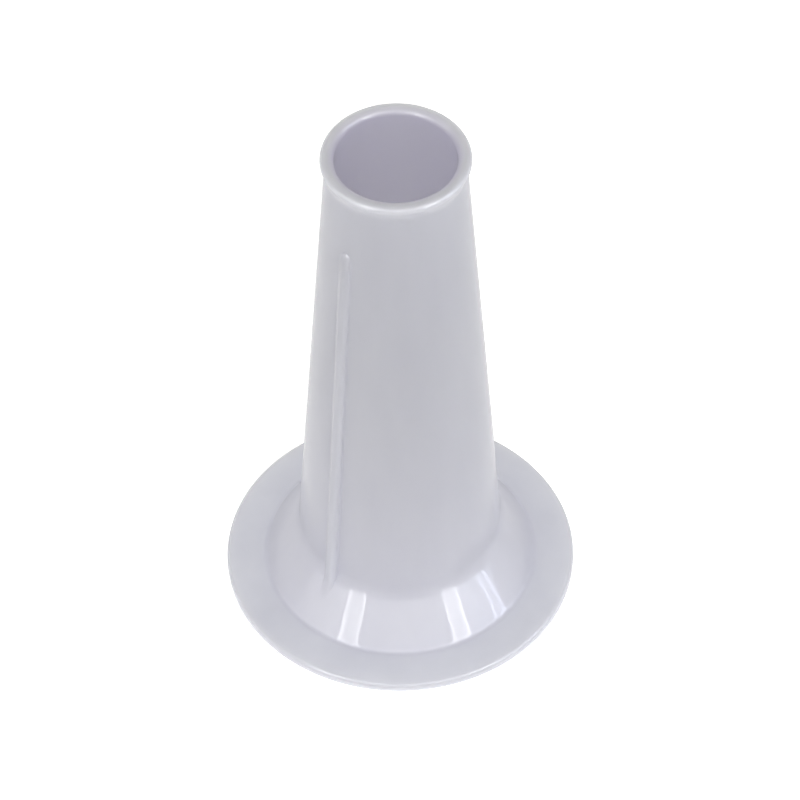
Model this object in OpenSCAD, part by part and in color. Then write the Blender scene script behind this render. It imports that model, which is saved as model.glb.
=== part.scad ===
// Sausage stuffing tube: one moulded piece, a tapered tube that widens in a bell to a flat clamping flange.
// The origin is the centre of the flange's underside, and the tube's axis is +Z.

/* [Flange] */
// Outside diameter of the flange, which sits in the grinder's ring nut
flange_d = 62; // [56:0.5:76]
// Thickness of the flange
flange_t = 2; // [1.6:0.1:4]
// Rounding of the flange's two outer edges
flange_edge_r = 0.6; // [0.2:0.1:0.7]

/* [Tube] */
// Height from the flange's underside to the mouth
tube_h = 102.5; // [70:0.5:160]
// Outside diameter of the taper where its line meets the mouth's plane
tube_top_d = 23.1; // [14:0.1:28]
// Outside diameter of the taper where its line meets the flange's underside
tube_base_d = 37.5; // [32:0.1:42]
// Wall thickness of the tube and the bell, square to their surface
wall = 1.5; // [1:0.1:2.5]

/* [Bell] */
// Diameter at the bell's foot, where its cone's line meets the top of the flange
bell_foot_d = 48; // [44:0.5:52]
// Lean of the bell's cone away from the tube's axis, in degrees
bell_lean = 32.5; // [25:0.5:45]
// Radius of the hollow curve between the tube and the bell
neck_r = 7; // [2:0.5:10]
// Radius of the hollow curve between the bell and the flange
foot_r = 1.2; // [0.4:0.1:2.5]

/* [Mouth] */
// How far the bead round the mouth stands out from the taper's line
bead_stand = 0.9; // [0.3:0.05:1.5]
// Radius of the bead's outer rounding
bead_r = 1; // [0.6:0.05:1.5]
// Radius of the hollow curve under the bead
bead_blend_r = 5; // [2:0.5:10]
// Rounding of the mouth's inner edge
mouth_edge_r = 0.7; // [0.2:0.05:0.9]

/* [Rib] */
// Number of ribs, evenly spaced round the tube from the front
rib_count = 1; // [0:1:6]
// Width of a rib
rib_w = 2.3; // [1.6:0.1:4]
// Rounding of a rib's crest edges and of its upper end
rib_edge_r = 0.45; // [0.2:0.05:0.7]
// Distance from the mouth's plane down to a rib's upper end
rib_gap = 13.5; // [8:0.5:40]
// How far a rib stands out from the taper at its upper end
rib_rise_top = 0.5; // [0.3:0.05:1.2]
// How far a rib stands out from the taper where the bell begins
rib_rise_foot = 1.2; // [0.6:0.05:2]

/* [Hidden] */
$fn = 180;

flange_r = flange_d / 2;
base_r = tube_base_d / 2;
top_r = tube_top_d / 2;
taper = atan((base_r - top_r) / tube_h);

// Spare length that carries a cut past the face it opens
overcut = 1;

// Half-plane sections are drawn with x as the radius and y as the height.
// Outward normal of the taper's line, and the line's distance from the origin along it
taper_out = [cos(taper), sin(taper)];
taper_up = [-sin(taper), cos(taper)];
taper_reach = base_r * cos(taper);

// Point that stands a given distance out from the taper's line and a given distance along it
function taper_point(out, along) = (taper_reach + out) * taper_out + along * taper_up;

// Radius of the taper's line at a height
function taper_r(z) = base_r - z * tan(taper);

// Point where two lines meet, each given by its normal and its distance from the origin
function meeting(n, d, m, e) = [d * m.y - e * n.y, e * n.x - d * m.x] / (n.x * m.y - n.y * m.x);

// The bell is a cone that an arc joins to the taper and a smaller arc joins to the flange
bell_out = [cos(bell_lean), sin(bell_lean)];
bell_reach = [bell_foot_d / 2, flange_t] * bell_out;
neck_centre = meeting(taper_out, taper_reach + neck_r, bell_out, bell_reach + neck_r);
neck_start = neck_centre - neck_r * taper_out;
neck_end = neck_centre - neck_r * bell_out;
foot_centre = meeting(bell_out, bell_reach + foot_r, [0, 1], flange_t + foot_r);
foot_start = foot_centre - foot_r * bell_out;

// The inside follows the outside at one wall's distance
inner_neck_r = neck_r + wall;
inner_neck_start = neck_centre - inner_neck_r * taper_out;
inner_neck_end = neck_centre - inner_neck_r * bell_out;
inner_foot_r = (bell_reach - wall) / bell_out.x;

// The bead is a circle at the mouth, and its blend is an arc tangent to it and to the taper
bead_centre = [top_r + bead_stand - bead_r, tube_h - bead_r];
bead_out = bead_centre * taper_out - taper_reach;
bead_along = bead_centre * taper_up;
blend_along = bead_along - sqrt((bead_r + bead_blend_r) ^ 2 - (bead_blend_r - bead_out) ^ 2);
blend_centre = taper_point(bead_blend_r, blend_along);
blend_start = taper_point(0, blend_along);
blend_end = bead_centre + (blend_centre - bead_centre) * bead_r / (bead_r + bead_blend_r);

// The mouth's inner rounding is tangent to the inside of the taper and to the mouth's plane
mouth_round_z = tube_h - mouth_edge_r;
mouth_round_x = (taper_reach - wall + mouth_edge_r - mouth_round_z * sin(taper)) / cos(taper);
mouth_round = [mouth_round_x, mouth_round_z];
mouth_start = mouth_round - mouth_edge_r * taper_out;

// A rib runs straight down from its rounded end, and leans out from the taper as it goes
rib_end_z = tube_h - rib_gap;
rib_run = (rib_end_z - neck_start.y) / cos(taper);
rib_lean = taper + atan((rib_rise_foot - rib_rise_top) / rib_run);
rib_length = rib_end_z - flange_t;
rib_root = wall / 2;

module stuffing_tube() {
  color("#dddce4")
    difference() {
      union() {
        rotate_extrude()
          outer_section();
        ribs();
      }
      rotate_extrude()
        passage_section();
    }
}

// Half section of everything inside the outer surface
module outer_section() {
  flange_section();
  difference() {
    polygon([
      [0, 0],
      [foot_centre.x, 0],
      [foot_centre.x, flange_t],
      foot_start,
      neck_end,
      neck_start,
      blend_start,
      blend_end,
      bead_centre,
      [bead_centre.x, tube_h],
      [0, tube_h],
    ]);
    translate(foot_centre)
      circle(foot_r);
    translate(neck_centre)
      circle(neck_r);
    translate(blend_centre)
      circle(bead_blend_r);
  }
  translate(bead_centre)
    circle(bead_r);
}

// Half section of the flange, a flat disc with both outer edges rounded
module flange_section() {
  flat_r = flange_r - flange_edge_r;
  square([flat_r, flange_t]);
  translate([0, flange_edge_r])
    square([flange_r, flange_t - 2 * flange_edge_r]);
  for (z = [flange_edge_r, flange_t - flange_edge_r])
    translate([flat_r, z])
      circle(flange_edge_r);
}

// Half section of the passage, from below the flange to above the mouth
module passage_section() {
  difference() {
    polygon([
      [0, -overcut],
      [inner_foot_r, -overcut],
      [inner_foot_r, 0],
      inner_neck_end,
      inner_neck_start,
      mouth_start,
      [mouth_round.x, tube_h],
      [mouth_round.x, tube_h + overcut],
      [0, tube_h + overcut],
    ]);
    translate(neck_centre)
      circle(inner_neck_r);
    translate(mouth_round)
      circle(mouth_edge_r);
  }
}

// The ribs, the first one at the front
module ribs() {
  if (rib_count > 0)
    for (i = [0 : rib_count - 1])
      rotate([0, 0, i * 360 / rib_count - 90])
        translate([taper_r(rib_end_z), 0, rib_end_z])
          rotate([0, -rib_lean, 0])
            rib();
}

// One rib along -Z with its crest towards +X, and its rounded upper end at the origin
module rib() {
  end_r = rib_w / 2;
  translate([0, 0, -rib_length])
    linear_extrude(rib_length - end_r)
      rib_section(rib_w);
  translate([0, 0, -end_r])
    rotate([0, 90, 0])
      rotate([0, 0, 90])
        rotate_extrude(angle = 180)
          rotate([0, 0, 90])
            intersection() {
              rib_section(rib_w);
              translate([-rib_root, -end_r])
                square([rib_root + rib_rise_top, end_r]);
            }
}

// Cross section of a rib, x out of the tube, with its two crest edges rounded
module rib_section(w) {
  half = w / 2;
  translate([-rib_root, -half])
    square([rib_root + rib_rise_top - rib_edge_r, w]);
  translate([-rib_root, rib_edge_r - half])
    square([rib_root + rib_rise_top, w - 2 * rib_edge_r]);
  for (y = [rib_edge_r - half, half - rib_edge_r])
    translate([rib_rise_top - rib_edge_r, y])
      circle(rib_edge_r);
}

stuffing_tube();
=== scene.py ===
"""Looks of the sausage stuffing tube: one glossy white moulding on a pale table in soft studio light.

The tube is one closed surface, a section carried round the axis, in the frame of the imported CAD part.
Sizes are in millimetres and become metres where a mesh, a light or the camera is made.
"""

import math

import bpy
import numpy as np
from mathutils import Matrix, Vector


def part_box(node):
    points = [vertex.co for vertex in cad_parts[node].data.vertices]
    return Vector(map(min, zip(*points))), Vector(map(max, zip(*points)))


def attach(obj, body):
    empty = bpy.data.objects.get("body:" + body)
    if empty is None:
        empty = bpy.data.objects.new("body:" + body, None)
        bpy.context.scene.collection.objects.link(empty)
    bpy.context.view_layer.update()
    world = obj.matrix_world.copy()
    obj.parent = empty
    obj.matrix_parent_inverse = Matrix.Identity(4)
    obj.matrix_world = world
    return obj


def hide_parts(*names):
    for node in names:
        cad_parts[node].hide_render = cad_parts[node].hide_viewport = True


MM = 0.001
NODE = "stuffing_tube"

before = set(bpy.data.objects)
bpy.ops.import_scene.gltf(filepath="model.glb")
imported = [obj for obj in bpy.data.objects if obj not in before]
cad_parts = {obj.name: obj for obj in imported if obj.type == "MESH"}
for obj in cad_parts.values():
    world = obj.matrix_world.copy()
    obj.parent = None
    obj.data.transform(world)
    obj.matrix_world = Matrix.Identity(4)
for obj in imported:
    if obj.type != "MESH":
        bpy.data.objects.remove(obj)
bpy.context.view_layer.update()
lowest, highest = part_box(NODE)

# Sizes of the moulding. The two largest ones come from the frame.
FLANGE_R = (highest.x - lowest.x) / 2 / MM
TUBE_H = (highest.z - lowest.z) / MM
FLANGE_T = 2.0
FLANGE_EDGE_R = 0.6
TAPER_TOP_R = 11.55
TAPER_BASE_R = 18.75
WALL = 1.5
BELL_FOOT_R = 24.0
BELL_LEAN = math.radians(32.5)
NECK_R = 7.0
FOOT_FILLET_R = 1.2
BEAD_STAND = 0.9
BEAD_R = 1.0
BEAD_BLEND_R = 5.0
MOUTH_EDGE_R = 1.25

# The rib at the front: its section, its distance below the mouth, and how it rises and ends in the bell
RIB_W = 2.3
RIB_EDGE_R = 0.85
RIB_ROOT_R = 0.25
RIB_DRAFT = 0.10
RIB_GAP = 13.5
RIB_CAP = 2.2
RIB_RISE_TOP = 0.5
RIB_RISE_FOOT = 1.2
RIB_FOOT_BLEND = 1.3

# Half of the strip of wall whose columns follow the rib, and the number of columns round the rest of the tube
RIB_REACH = 2.4
ROUND_COLUMNS = 270

# The section has the radius across and the height up. The taper's line has an outward normal, an upward
# direction and a distance from the origin along the normal.
TAPER = math.atan((TAPER_BASE_R - TAPER_TOP_R) / TUBE_H)
TAPER_OUT = np.array([math.cos(TAPER), math.sin(TAPER)])
TAPER_UP = np.array([-math.sin(TAPER), math.cos(TAPER)])
TAPER_REACH = TAPER_BASE_R * math.cos(TAPER)
RIB_END_Z = TUBE_H - RIB_GAP

# The camera's side of the object gives the stage its directions: to the camera's right, away from it, and up
CAMERA_TURN = math.radians(42.0)
RIGHT = Vector((math.cos(CAMERA_TURN), math.sin(CAMERA_TURN), 0))
AWAY = Vector((-math.sin(CAMERA_TURN), math.cos(CAMERA_TURN), 0))
UP = Vector((0, 0, 1))


def srgb(code):
    """Linear colour of a hexadecimal sRGB code."""
    value = np.array([int(code[i : i + 2], 16) for i in (1, 3, 5)]) / 255
    linear = np.where(value <= 0.04045, value / 12.92, ((value + 0.055) / 1.055) ** 2.4)
    return (*linear.tolist(), 1.0)


def arc(centre, radius, start, end, count):
    """Points of a circular arc in the section: the centre plus the radius, turned between two angles."""
    angle = np.linspace(start, end, count)
    return np.stack([centre[0] + radius * np.cos(angle), centre[1] + radius * np.sin(angle)], 1)


def line(start, end, count):
    """Evenly spaced points between two section points, without the two ends."""
    share = np.linspace(0, 1, count + 2)[1:-1, None]
    return np.asarray(start) * (1 - share) + np.asarray(end) * share


def taper_r(z):
    """Outer radius of the plain taper at a height."""
    return TAPER_BASE_R - z * math.tan(TAPER)


def soft_window(value, low, high, border):
    """One between two limits, falling smoothly to nothing within a border inside each of them."""
    share = np.clip(np.minimum(value - low, high - value) / border, 0, 1)
    return share * share * (3 - 2 * share)


def tube_section():
    """Closed section of the wall, anticlockwise from the bell's inner edge: lines joined by tangent arcs, with
    the inside one wall away from the outside. Gives the points, a mask of those that can carry the rib, each
    point's share in the passage, and the height where the bell begins."""
    bell_out = np.array([math.cos(BELL_LEAN), math.sin(BELL_LEAN)])
    bell_reach = np.array([BELL_FOOT_R, FLANGE_T]) @ bell_out
    neck = np.linalg.solve([TAPER_OUT, bell_out], [TAPER_REACH + NECK_R, bell_reach + NECK_R])
    neck_start = neck - NECK_R * TAPER_OUT
    fillet_z = FLANGE_T + FOOT_FILLET_R
    fillet = np.array([(bell_reach + FOOT_FILLET_R - fillet_z * bell_out[1]) / bell_out[0], fillet_z])

    # The blend under the bead touches the taper's line and the bead's circle
    bead = np.array([TAPER_TOP_R + BEAD_STAND - BEAD_R, TUBE_H - BEAD_R])
    bead_out = bead @ TAPER_OUT - TAPER_REACH
    blend_along = bead @ TAPER_UP - math.sqrt((BEAD_R + BEAD_BLEND_R) ** 2 - (BEAD_BLEND_R - bead_out) ** 2)
    blend = (TAPER_REACH + BEAD_BLEND_R) * TAPER_OUT + blend_along * TAPER_UP
    blend_start = blend - BEAD_BLEND_R * TAPER_OUT
    blend_turn = math.atan2(*(bead - blend)[::-1]) % (2 * math.pi)

    lip_z = TUBE_H - MOUTH_EDGE_R
    lip = np.array([(TAPER_REACH - WALL + MOUTH_EDGE_R - lip_z * math.sin(TAPER)) / math.cos(TAPER), lip_z])
    inner_r = NECK_R + WALL
    inner_foot = np.array([(bell_reach - WALL) / bell_out[0], 0.0])

    # Rows along the taper are close together at the rib's upper end
    cap_foot = RIB_END_Z - RIB_CAP - 1.0
    heights = np.concatenate([
        np.linspace(neck_start[1], cap_foot, 30)[1:-1],
        np.linspace(cap_foot, RIB_END_Z + 0.6, 44),
        np.linspace(RIB_END_Z + 0.6, blend_start[1], 6)[1:-1],
    ])
    half = math.pi / 2
    edge_x = FLANGE_R - FLANGE_EDGE_R
    foot = [
        inner_foot[None],
        line(inner_foot, (edge_x, 0), 7),
        arc((edge_x, FLANGE_EDGE_R), FLANGE_EDGE_R, -half, 0, 8),
        arc((edge_x, FLANGE_T - FLANGE_EDGE_R), FLANGE_EDGE_R, 0, half, 8),
        line((edge_x, FLANGE_T), (fillet[0], FLANGE_T), 8),
    ]
    outside = [
        arc(fillet, FOOT_FILLET_R, -half, BELL_LEAN - math.pi, 10),
        line(fillet - FOOT_FILLET_R * bell_out, neck - NECK_R * bell_out, 16),
        arc(neck, NECK_R, math.pi + BELL_LEAN, math.pi + TAPER, 24),
        np.stack([taper_r(heights), heights], 1),
        arc(blend, BEAD_BLEND_R, math.pi + TAPER, blend_turn, 12),
    ]
    rim = [
        arc(bead, BEAD_R, blend_turn - math.pi, half, 16)[1:],
        line((bead[0], TUBE_H), (lip[0], TUBE_H), 1),
    ]
    inside = [
        arc(lip, MOUTH_EDGE_R, half, math.pi + TAPER, 14),
        line(lip - MOUTH_EDGE_R * TAPER_OUT, neck - inner_r * TAPER_OUT, 30),
        arc(neck, inner_r, math.pi + TAPER, math.pi + BELL_LEAN, 14),
        line(neck - inner_r * bell_out, inner_foot, 8),
    ]
    stretches = [np.concatenate(pieces) for pieces in (foot, outside, rim, inside)]
    rows = np.concatenate(stretches)
    stretch = np.repeat(np.arange(4), [len(s) for s in stretches])
    round_share = np.clip((lip[0] - rows[:, 0]) / MOUTH_EDGE_R, 0, 1)
    passage = np.where(stretch == 3, np.where(rows[:, 1] <= lip_z, 1, round_share), 0)
    return rows, stretch == 1, passage, neck_start[1]


def rib_columns():
    """Offsets of the mesh columns from the rib's middle to both sides, closer together on its rounds."""
    half = RIB_W / 2
    crest = half - RIB_EDGE_R
    quarter = np.linspace(0, math.pi / 2, 8)
    root = half + RIB_DRAFT + RIB_ROOT_R * (1 - np.cos(np.linspace(0, math.pi / 2, 6)))
    side = np.concatenate([
        np.linspace(0, crest, 4)[:-1],
        crest + RIB_EDGE_R * np.sin(quarter),
        half + RIB_DRAFT * np.array([0.35, 0.7]),
        root,
        np.linspace(root[-1], RIB_REACH, 5)[1:],
    ])
    return np.concatenate([-side[:0:-1], side])


def rib_height(side, rise):
    """Height of the rib's section at offsets to the side of its middle, for a rise: a narrow flat crest, a
    round at each edge, a drafted flank and a hollow round at the root."""
    half = RIB_W / 2
    crest = half - RIB_EDGE_R
    s = np.abs(side)
    edge = np.minimum(RIB_EDGE_R, rise * 0.8)
    top = rise - edge + edge * np.sqrt(np.clip(1 - ((s - crest) / RIB_EDGE_R) ** 2, 0, 1))
    top = np.where(s <= crest, rise, top)
    root = np.minimum(RIB_ROOT_R, rise * 0.2)
    share = np.clip((s - half) / RIB_DRAFT, 0, 1)
    flank = (rise - edge) * (1 - share) + root * share
    reach = np.clip((s - half - RIB_DRAFT) / RIB_ROOT_R, 0, 1)
    hollow = root * (1 - np.sqrt(np.clip(1 - (1 - reach) ** 2, 0, 1)))
    return np.where(s <= half, top, np.where(s <= half + RIB_DRAFT, flank, hollow))


def tube_surface():
    """The tube's points in metres, on a grid of section rows by columns, with each point's share of painted
    shade, on the flange's edge and the rib, and its share of the passage. A row goes round the axis from the
    front, and columns near the rib keep their distance to the side of its middle. There the depth is the
    larger of the wall's and the rib's. Where the rib runs into the bell the two join in a small hollow: the
    square of what is left of the hollow's width, over four widths, is added."""
    rows, ribbed, passage, bell_top = tube_section()
    side = rib_columns()[None]
    beside = side.shape[1]
    r, z = rows[:, :1], rows[:, 1:]
    near = np.arcsin(side / r)
    share = np.linspace(0, 1, ROUND_COLUMNS + 2)[None, 1:-1]
    far = near[:, -1:] + share * (2 * math.pi - 2 * near[:, -1:])
    turn = np.concatenate([near, far], 1)
    x, depth = r * np.sin(turn), r * np.cos(turn)

    # The rib's rise grows evenly downwards, and at the round upper end it comes up along a quarter ellipse
    end_r = RIB_W / 2
    tip = end_r - np.sqrt(np.clip(end_r**2 - side**2, 0, None))
    cap = np.clip((RIB_END_Z - z - tip) / RIB_CAP, 0, 1)
    rise = RIB_RISE_TOP + (RIB_RISE_FOOT - RIB_RISE_TOP) * (RIB_END_Z - z) / (RIB_END_Z - bell_top)
    rise = np.maximum(rise * np.sqrt(1 - (1 - cap) ** 2), 1e-6)
    height = rib_height(side, rise) / math.cos(TAPER)
    rib = np.sqrt(taper_r(z) ** 2 - side**2) + height
    wall = depth[:, :beside]
    hollow = RIB_FOOT_BLEND * np.clip(height / rise, 0, 1) * np.clip((bell_top + 1 - z) / 3, 0, 1) + 1e-6
    joined = np.maximum(rib, wall) + np.clip(hollow - np.abs(rib - wall), 0, None) ** 2 / (4 * hollow)

    # Painted shade: the flange's edge is darkened all round, and the rib as far as it stands above the bell
    painted_shade = np.repeat(np.clip((r - FLANGE_R) / FLANGE_EDGE_R + 1, 0, 1), x.shape[1], 1)
    stand = 0.6 * height / np.maximum(rise, RIB_RISE_TOP) * np.clip((z - bell_top) / 8, 0, 1)
    painted_shade[:, :beside] += np.where(ribbed[:, None] & (rib > wall), stand, 0)
    depth[:, :beside] = np.where(ribbed[:, None], joined, wall)
    points = np.stack([x, -depth, np.broadcast_to(z, x.shape)], -1) * MM
    return points, painted_shade, np.repeat(passage[:, None], x.shape[1], 1)


def ring_mesh(name, points):
    """Mesh of a grid of points that closes on itself in both directions, its faces outward."""
    rows, columns = points.shape[:2]
    index = np.arange(rows * columns).reshape(rows, columns)
    across = np.roll(index, -1, 1)
    faces = np.stack([index, across, np.roll(across, -1, 0), np.roll(index, -1, 0)], -1).reshape(-1, 4)
    mesh = bpy.data.meshes.new(name)
    mesh.from_pydata(points.reshape(-1, 3).tolist(), [], faces.tolist())
    mesh.shade_smooth()
    mesh.set_sharp_from_angle(angle=math.radians(22))
    return mesh


def set_share(mesh, name, values):
    """Stores one number for each point of a mesh under a name that materials read."""
    mesh.attributes.new(name, "FLOAT", "POINT").data.foreach_set("value", values.ravel())


def node(tree, kind, inputs=None, **settings):
    """Adds a shader node with its settings. An input, by name or number, is a value or a node's output."""
    made = tree.nodes.new(kind)
    for key, value in settings.items():
        setattr(made, key, value)
    for key, value in (inputs or {}).items():
        if isinstance(value, bpy.types.NodeSocket):
            tree.links.new(value, made.inputs[key])
        else:
            made.inputs[key].default_value = value
    return made


def new_material(name):
    """Material with an empty node tree."""
    material = bpy.data.materials.new(name)
    material.use_nodes = True
    material.node_tree.nodes.clear()
    return material, material.node_tree


def moulded_polypropylene():
    """Polypropylene injected into a polished mould: a milky white that light gets through, with a faint
    violet cast. A clear skin gives crisp, slightly wavy reflections over the soft sheen of the body."""
    material, tree = new_material("injection moulded polypropylene, polished white")
    place = node(tree, "ShaderNodeTexCoord").outputs["Object"]

    # Pigment: two close whites that drift over 13 mm, drawn out four times along the flow
    flow = node(tree, "ShaderNodeMapping", {"Vector": place, "Scale": (1, 1, 0.25)}).outputs[0]
    streaks = node(tree, "ShaderNodeTexNoise", {"Vector": flow, "Scale": 1 / (13 * MM), "Detail": 3.0})
    drift = node(tree, "ShaderNodeMapRange", {"Value": streaks.outputs[0], "From Min": 0.3, "From Max": 0.7})
    white = node(
        tree,
        "ShaderNodeMix",
        {0: drift.outputs[0], 6: srgb("#c2c3cc"), 7: srgb("#cacbd3")},
        data_type="RGBA",
    )
    # Painted light: the passage is mixed towards a deeper violet, the tint of the light that reaches it
    # through the wall
    passage = node(tree, "ShaderNodeAttribute", attribute_name="passage").outputs["Fac"]
    violet = node(
        tree,
        "ShaderNodeMix",
        {0: passage, 6: white.outputs[2], 7: srgb("#ccc8de")},
        data_type="RGBA",
    )
    # Painted shade: the rib and the flange's edge, thicker than the wall, are mixed towards a darker grey
    painted_shade = node(tree, "ShaderNodeAttribute", attribute_name="painted_shade").outputs["Fac"]
    shade_share = node(tree, "ShaderNodeMath", {0: painted_shade, 1: 0.8}, operation="MULTIPLY")
    colour = node(
        tree,
        "ShaderNodeMix",
        {0: shade_share.outputs[0], 6: violet.outputs[2], 7: srgb("#b1b1b8")},
        data_type="RGBA",
    )
    # Sheen of the body: handling dulls it in soft patches of 9 mm
    patches = node(tree, "ShaderNodeTexNoise", {"Vector": place, "Scale": 1 / (9 * MM), "Detail": 4.0})
    dulling = {"Value": patches.outputs[0], "From Min": 0.3, "From Max": 0.7, "To Min": 0.54, "To Max": 0.62}
    sheen = node(tree, "ShaderNodeMapRange", dulling)
    # Relief: sinks 6 mm wide and a tenth of a millimetre deep bend the reflections, with a fine orange peel
    # of 1.1 mm over them
    sinks = node(tree, "ShaderNodeTexNoise", {"Vector": place, "Scale": 1 / (6 * MM), "Detail": 1.0})
    waves = node(tree, "ShaderNodeBump", {"Height": sinks.outputs[0], "Strength": 1.0, "Distance": 0.11 * MM})
    grain = node(tree, "ShaderNodeTexNoise", {"Vector": place, "Scale": 1 / (1.1 * MM), "Detail": 2.0})
    peel = node(
        tree,
        "ShaderNodeBump",
        {"Height": grain.outputs[0], "Strength": 1.0, "Distance": 0.0012 * MM, "Normal": waves.outputs[0]},
    )
    shader = node(
        tree,
        "ShaderNodeBsdfPrincipled",
        {
            "Base Color": colour.outputs[2],
            "Roughness": sheen.outputs[0],
            "IOR": 1.5,
            "Normal": peel.outputs[0],
            "Subsurface Weight": 1.0,
            "Subsurface Radius": (1.0, 1.0, 1.0),
            "Subsurface Scale": 10 * MM,
            "Coat Weight": 0.5,
            "Coat Roughness": 0.015,
            "Coat Normal": peel.outputs[0],
        },
    )
    node(tree, "ShaderNodeOutputMaterial", {"Surface": shader.outputs[0]})
    return material


def lit_acrylic():
    """Matt white acrylic of a light table: an even pale sheet with a soft glow from the lamps under it."""
    material, tree = new_material("matt white acrylic, lit from below")
    pale = srgb("#f4f4f4")
    shader = node(
        tree,
        "ShaderNodeBsdfPrincipled",
        {"Base Color": pale, "Roughness": 0.6, "Emission Color": pale, "Emission Strength": 0.57},
    )
    node(tree, "ShaderNodeOutputMaterial", {"Surface": shader.outputs[0]})
    return material


def lit_cloth(code, level):
    """Woven diffusing cloth before a lamp: its light follows the card's fade and adds to what is behind."""
    material, tree = new_material("woven diffusing cloth, lit")
    fade = node(tree, "ShaderNodeAttribute", attribute_name="fade").outputs["Fac"]
    strength = node(tree, "ShaderNodeMath", {0: fade, 1: level}, operation="MULTIPLY")
    light = node(tree, "ShaderNodeEmission", {"Color": srgb(code), "Strength": strength.outputs[0]})
    clear = node(tree, "ShaderNodeBsdfTransparent")
    both = node(tree, "ShaderNodeAddShader", {0: light.outputs[0], 1: clear.outputs[0]})
    node(tree, "ShaderNodeOutputMaterial", {"Surface": both.outputs[0]})
    return material


def add_object(name, data):
    """Links a new object at the origin into the scene."""
    made = bpy.data.objects.new(name, data)
    bpy.context.scene.collection.objects.link(made)
    return made


def add_tube():
    """The moulded tube, which stands for the CAD solid."""
    points, painted_shade, passage = tube_surface()
    tube = add_object("moulded_tube", ring_mesh("moulded_tube", points))
    set_share(tube.data, "painted_shade", painted_shade)
    set_share(tube.data, "passage", passage)
    tube.data.materials.append(moulded_polypropylene())
    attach(tube, "root")
    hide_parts(NODE)


def staged(right, away, up):
    """Place in metres given by distances in millimetres to the camera's right, away from it and up."""
    return (RIGHT * right + AWAY * away + UP * up) * MM


def add_table():
    """Flat square table just under the flange."""
    reach, z = 4.0, -0.1 * MM
    corners = [(-reach, -reach, z), (reach, -reach, z), (reach, reach, z), (-reach, reach, z)]
    mesh = bpy.data.meshes.new("table")
    mesh.from_pydata(corners, [], [(0, 1, 2, 3)])
    mesh.materials.append(lit_acrylic())
    add_object("table", mesh)


def add_panel(name, place, size, watts, code="#ffffff"):
    """Soft square light that faces a point low on the tube's axis and stays out of its reflections."""
    light = bpy.data.lights.new(name, "AREA")
    light.size = size * MM
    light.energy = watts
    light.color = srgb(code)[:3]
    panel = add_object(name, light)
    panel.location = staged(*place)
    panel.visible_glossy = False
    panel.rotation_mode = "QUATERNION"
    panel.rotation_quaternion = (staged(0, 0, 30) - panel.location).to_track_quat("-Z", "Y")


def add_arc_card(name, reach, turns, rises, border, level, code, middle=1.0):
    """Part of a sphere round the object that shows only in reflections. Its points follow a turn from the
    camera's side to the right and a rise above the table, both in degrees. Its light fades out at its border,
    and inside a bright frame of a few borders' width it is dimmed to a share."""
    turn, rise = np.meshgrid(np.linspace(*turns, 73), np.linspace(*rises, 73))
    fade = soft_window(turn, *turns, border[0]) * soft_window(rise, *rises, border[1])
    within = [(low + 2 * b, high - 2 * b) for (low, high), b in zip((turns, rises), border)]
    inner = soft_window(turn, *within[0], 2 * border[0]) * soft_window(rise, *within[1], 2 * border[1])
    a, b = np.radians(turn), np.radians(rise)
    spread = np.stack([np.cos(b) * np.sin(a), -np.cos(b) * np.cos(a), np.sin(b)], -1)
    points = spread @ np.array([RIGHT, AWAY, UP]) * reach * MM
    index = np.arange(turn.size).reshape(turn.shape)
    faces = np.stack([index[:-1, :-1], index[1:, :-1], index[1:, 1:], index[:-1, 1:]], -1)
    mesh = bpy.data.meshes.new(name)
    mesh.from_pydata(points.reshape(-1, 3).tolist(), [], faces.reshape(-1, 4).tolist())
    set_share(mesh, "fade", fade * (1 - (1 - middle) * inner))
    mesh.materials.append(lit_cloth(code, level))
    card = add_object(name, mesh)
    card.visible_camera = card.visible_diffuse = card.visible_shadow = False


def add_studio():
    """Grey surroundings, two soft lights from above, wide arcs that brighten the bell, and narrow framed
    strips whose reflections stand on it as windows."""
    world = bpy.data.worlds.new("studio")
    bpy.context.scene.world = world
    world.use_nodes = True
    background = world.node_tree.nodes["Background"]
    background.inputs["Color"].default_value = srgb("#bcbcc4")
    background.inputs["Strength"].default_value = 0.5
    add_panel("top light", (0, 150, 1600), 900, 9.9, "#fbf9ea")
    add_panel("key panel", (0, -700, 1320), 900, 1.7)
    add_arc_card("front arc", 1400, (-70, 75), (0, 66), (30, 20), 4.6, "#fafbff")
    add_arc_card("left arc", 1400, (-115, -30), (-6, 40), (28, 8), 3.0, "#ffffff")
    add_arc_card("right arc", 1400, (30, 115), (-6, 40), (28, 8), 5.0, "#eaf0ff")
    add_arc_card("left strip", 1300, (-46, -30), (0, 40), (0.7, 0.7), 15, "#ffffff", 0.4)
    add_arc_card("right strip", 1300, (38, 52), (0, 40), (0.7, 0.7), 15, "#ffffff", 0.4)
    add_arc_card("blue strip", 1300, (71, 82), (-4, 30), (1, 1), 9, "#dfe8ff", 0.3)


def add_camera():
    """Long lens at the photo's angle: raised, straight on to the axis, rolled by less than a degree."""
    rise, roll = math.radians(48.6), math.radians(0.632)
    back = -AWAY * math.cos(rise) + UP * math.sin(rise)
    level_up = AWAY * math.sin(rise) + UP * math.cos(rise)
    right = RIGHT * math.cos(roll) - level_up * math.sin(roll)
    up = level_up * math.cos(roll) + RIGHT * math.sin(roll)
    lens = bpy.data.cameras.new("camera")
    lens.sensor_width = 36
    lens.lens = 202.0
    camera = add_object("camera", lens)
    matrix = Matrix((right, up, back)).transposed().to_4x4()
    matrix.translation = staged(0.246, 0, 42.2) + back * 775 * MM
    camera.matrix_world = matrix
    bpy.context.scene.camera = camera


add_tube()
add_table()
add_studio()
add_camera()
bpy.context.scene.view_settings.view_transform = "Standard"
